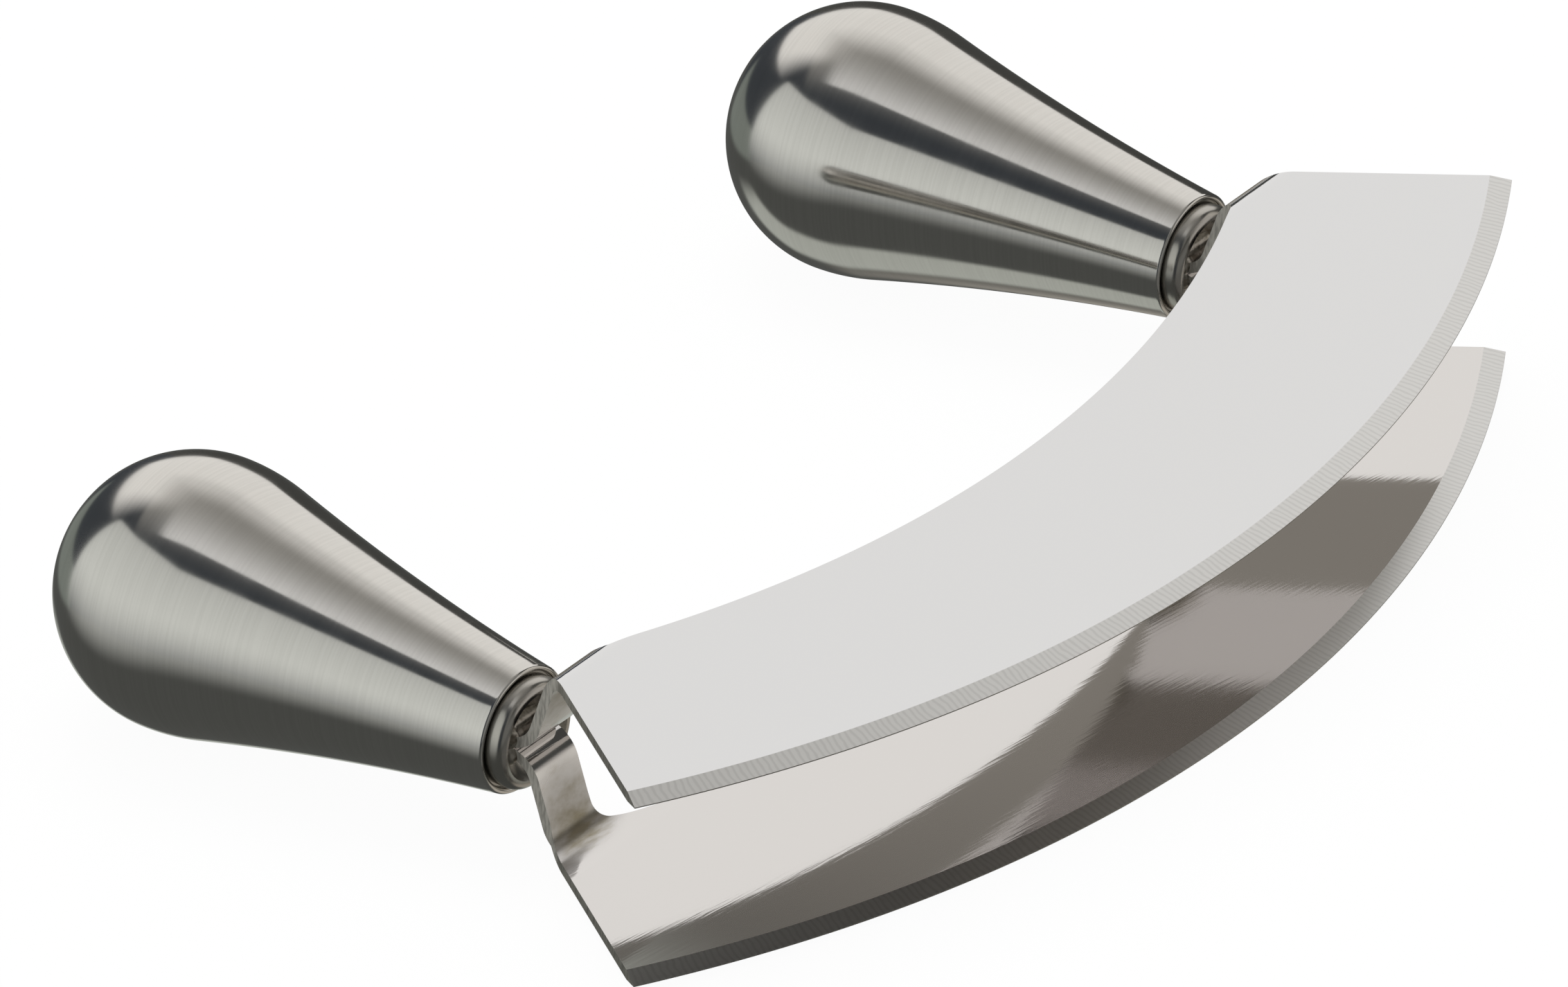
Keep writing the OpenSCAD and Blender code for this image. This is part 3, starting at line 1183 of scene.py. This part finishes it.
@dataclass(frozen=True)
class Card:
    """A flat board in the studio that only the steel's reflections show.

    Its corners are lower left, lower right, upper right and upper left, in metres.
    """

    name: str
    corners: tuple
    colour: str
    strength: float = 1.0
    fade: tuple = (0.0, 0.0, 0.0, 0.0)
    top_share: float = 1.0
    cells: int = 12

    def build(self) -> None:
        """Makes the board."""
        clear()
        bpy.ops.mesh.primitive_grid_add(x_subdivisions=self.cells, y_subdivisions=self.cells, size=1)
        board = bpy.context.object
        board.name = self.name
        low_left, low_right, high_right, high_left = (Vector(corner) for corner in self.corners)
        for point in board.data.vertices:
            across = point.co.x + 0.5
            upward = point.co.y + 0.5
            low = low_left.lerp(low_right, across)
            point.co = low.lerp(high_left.lerp(high_right, across), upward)
        board.visible_camera = False
        board.visible_diffuse = False
        board.visible_shadow = False
        board.data.materials.append(self.material())

    def material(self) -> Material:
        """Makes the board's even glow, which fades out towards its edges.

        Returns:
            The new material.
        """
        material = bpy.data.materials.new(self.name + "_glow")
        paint = Shading(material)
        parts = paint.add("SeparateXYZ", {0: paint.add("TexCoord", {})["UV"]})
        power = paint.add("MapRange", {0: parts[1], 3: self.strength, 4: self.strength * self.top_share})[0]
        surface = paint.add("Emission", {"Color": linear_colour(self.colour), "Strength": power})[0]
        cover = None
        for side, width in enumerate(self.fade):
            if width == 0:
                continue
            near, far = (0, width) if side % 2 == 0 else (1, 1 - width)
            ramp = paint.add("MapRange", {**SOFT, 0: parts[side // 2], 1: near, 2: far})[0]
            if cover is not None:
                ramp = paint.add("Math", {"operation": "MULTIPLY", 0: cover, 1: ramp})[0]
            cover = ramp
        if cover is not None:
            nothing = paint.add("BsdfTransparent", {})[0]
            surface = paint.add("MixShader", {0: cover, 1: nothing, 2: surface})[0]
        paint.add("OutputMaterial", {"Surface": surface})
        return material


def aimed(distance: float, *directions: tuple) -> tuple:
    """Finds points in the studio by the directions in which the handles see them.

    Args:
        distance: metres from the middle between the handles.
        directions: degrees from the front, round by the right, and degrees above the handles' height.

    Returns:
        The points.
    """
    points = []
    for azimuth, elevation in directions:
        az = math.radians(azimuth)
        el = math.radians(elevation)
        level = distance * math.cos(el)
        points.append((math.sin(az) * level, HANDLES_AT[1] - math.cos(az) * level,
                       HANDLES_AT[2] + math.sin(el) * distance))
    return tuple(points)


@dataclass
class Studio:
    """The plain room round the object: floor, soft light, and the boards that the steel mirrors."""

    half_room: float = 1.6
    ground_z: float = -0.5
    room_top: float = 4.0
    wall_glow: float = 1.5
    floor_glow: float = 0.96
    plain_light: float = 0.8
    floor_size: float = 12
    lamp_place: tuple = (0.3, 0.4, 1.6)
    lamp_size: float = 1.2
    lamp_watts: float = 12

    def build(self) -> None:
        """Makes the whole room."""
        self.world()
        self.floor()
        self.lamp()
        for card in self.cards():
            card.build()

    def cards(self) -> list:
        """Lists the boards and walls, from the far ones to the near ones.

        Returns:
            The cards.
        """
        w = self.half_room
        low = self.ground_z
        high = self.room_top
        cards = []
        for name, (x1, y1), (x2, y2), colour in (
                ("back_wall", (-w, w), (w, w), "#33363A"), ("left_wall", (-w, -w), (-w, w), "#33363A"),
                ("right_wall", (w, w), (w, -w), "#3A3A38"), ("front_wall", (w, -w), (-w, -w), "#6E6E6C")):
            corners = ((x1, y1, low), (x2, y2, low), (x2, y2, high), (x1, y1, high))
            cards.append(Card(name, corners, colour, self.wall_glow))
        return cards + [
            Card("front_board", aimed(1.4, (28, -14), (66, -14), (66, 30), (28, 30)),
                 "#C9C5BE", 1.3, (0.2, 0.2, 0.2, 0.2)),
            Card("dark_ground", ((-w, -w, low), (w, -w, low), (w, w, low), (-w, w, low)),
                 "#454644", self.wall_glow),
            Card("ceiling", ((-1.5, -1.5, 2.0), (1.5, -1.5, 2.0), (1.5, 1.58, 2.0), (-1.5, 1.58, 2.0)),
                 "#93918D", 0.9, (0.7, 0.1, 0.1, 0.03), 1.5),
            Card("warm_board", aimed(1.3, (72, 14), (142, 5), (142, 70), (72, 70)),
                 "#D8D6D3", 1.42, (0.05, 0, 0.02, 0.55)),
            Card("warm_board_side", aimed(1.3, (142, 5), (194, 31), (194, 70), (142, 70)),
                 "#D8D6D3", 1.42, (0, 0.55, 0.02, 0.55)),
            Card("lit_ground", aimed(1.0, (148, -21), (196, -21), (196, -2), (148, -2)),
                 "#6C716C", 1.5, (0.1, 0, 0.2, 0.1)),
            Card("cool_board", ((-0.644, -0.162, -0.3), (-0.171, 0.728, -0.3), (-0.171, 0.728, 0.555),
                                (-0.644, -0.162, 0.555)), "#E4E6E2", 1.25, (0.1, 0.01, 0.5, 0.04), 0.62),
            Card("near_ground", ((-0.005, -0.03, -0.12), (0.1, -0.03, -0.12), (0.1, 0.3, -0.12),
                                 (-0.005, 0.3, -0.12)), "#A3A6A0", 1.35, (0.2, 0.25, 0.05, 0.3)),
            Card("warm_ground", ((0.03, -0.1, -0.13), (0.5, -0.1, -0.13), (0.5, 0.13, -0.13),
                                 (0.03, 0.13, -0.13)), "#A39F97", 1.0, (0.35, 0.1, 0.1, 0.15)),
            Card("front_ground", aimed(0.5, (15, -62), (92, -62), (92, -16), (15, -16)),
                 "#9A948B", 1.5, (0.2, 0.1, 0.1, 0.2)),
        ]

    def world(self) -> None:
        """Fills the room with plain light and shows white to the camera."""
        world = bpy.data.worlds.new("room")
        bpy.context.scene.world = world
        paint = Shading(world)
        plain = paint.add("Background", {"Color": WHITE, "Strength": self.plain_light})[0]
        white = paint.add("Background", {"Color": WHITE, "Strength": 1.0})[0]
        mix = paint.add("MixShader", {0: self.seen(paint), 1: plain, 2: white})[0]
        paint.add("OutputWorld", {"Surface": mix})

    @staticmethod
    def seen(paint: Shading) -> NodeSocket:
        """Tells the rays that show a surface from those that only light it.

        Args:
            paint: the nodes to add to.

        Returns:
            1 for a ray that comes from the camera, a reflection or through glass, and 0 for others.
        """
        path = paint.add("LightPath", {})
        either = paint.add("Math", {
            "operation": "MAXIMUM", 0: path["Is Camera Ray"], 1: path["Is Glossy Ray"]})[0]
        return paint.add("Math", {"operation": "MAXIMUM", 0: either, 1: path["Is Transmission Ray"]})[0]

    def floor(self) -> None:
        """Lays the pale floor that the object stands on, white to the eye, with a faint shadow."""
        clear()
        bpy.ops.mesh.primitive_plane_add(size=self.floor_size, location=(0, 0, 0))
        floor = bpy.context.object
        floor.name = "floor"
        material = bpy.data.materials.new("pale_floor")
        paint = Shading(material)
        share = paint.add("Math", {"operation": "MULTIPLY", 0: self.seen(paint), 1: self.floor_glow})[0]
        matt = paint.add("BsdfDiffuse", {"Color": linear_colour("#F6F6F5")})[0]
        glow = paint.add("Emission", {"Color": WHITE, "Strength": 1.0})[0]
        mix = paint.add("MixShader", {0: share, 1: matt, 2: glow})[0]
        paint.add("OutputMaterial", {"Surface": mix})
        floor.data.materials.append(material)
        floor.visible_glossy = False

    def lamp(self) -> None:
        """Hangs one large soft lamp over the floor for the shadow."""
        data = bpy.data.lights.new("soft_lamp", "AREA")
        data.shape = "DISK"
        data.size = self.lamp_size
        data.energy = self.lamp_watts
        lamp = bpy.data.objects.new("soft_lamp", data)
        lamp.location = self.lamp_place
        lamp.rotation_euler = (-lamp.location).to_track_quat("-Z", "Y").to_euler()
        lamp.visible_glossy = False
        bpy.context.scene.collection.objects.link(lamp)


def main() -> None:
    """Builds the object piece by piece, then the room and the camera."""
    logging.basicConfig(level=logging.INFO, format="%(name)s: %(message)s")
    bpy.context.scene.view_settings.view_transform = "Standard"
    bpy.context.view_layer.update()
    sizes = Sizes()
    rest = Rest(sizes)
    Camera().build()
    pieces = Blade(sizes, rest).build() + Handle(sizes, rest).build()
    for piece in pieces:
        log.info("%s: %d faces", piece.name, len(piece.data.polygons))
    Studio().build()


if __name__ == "__main__":
    main()
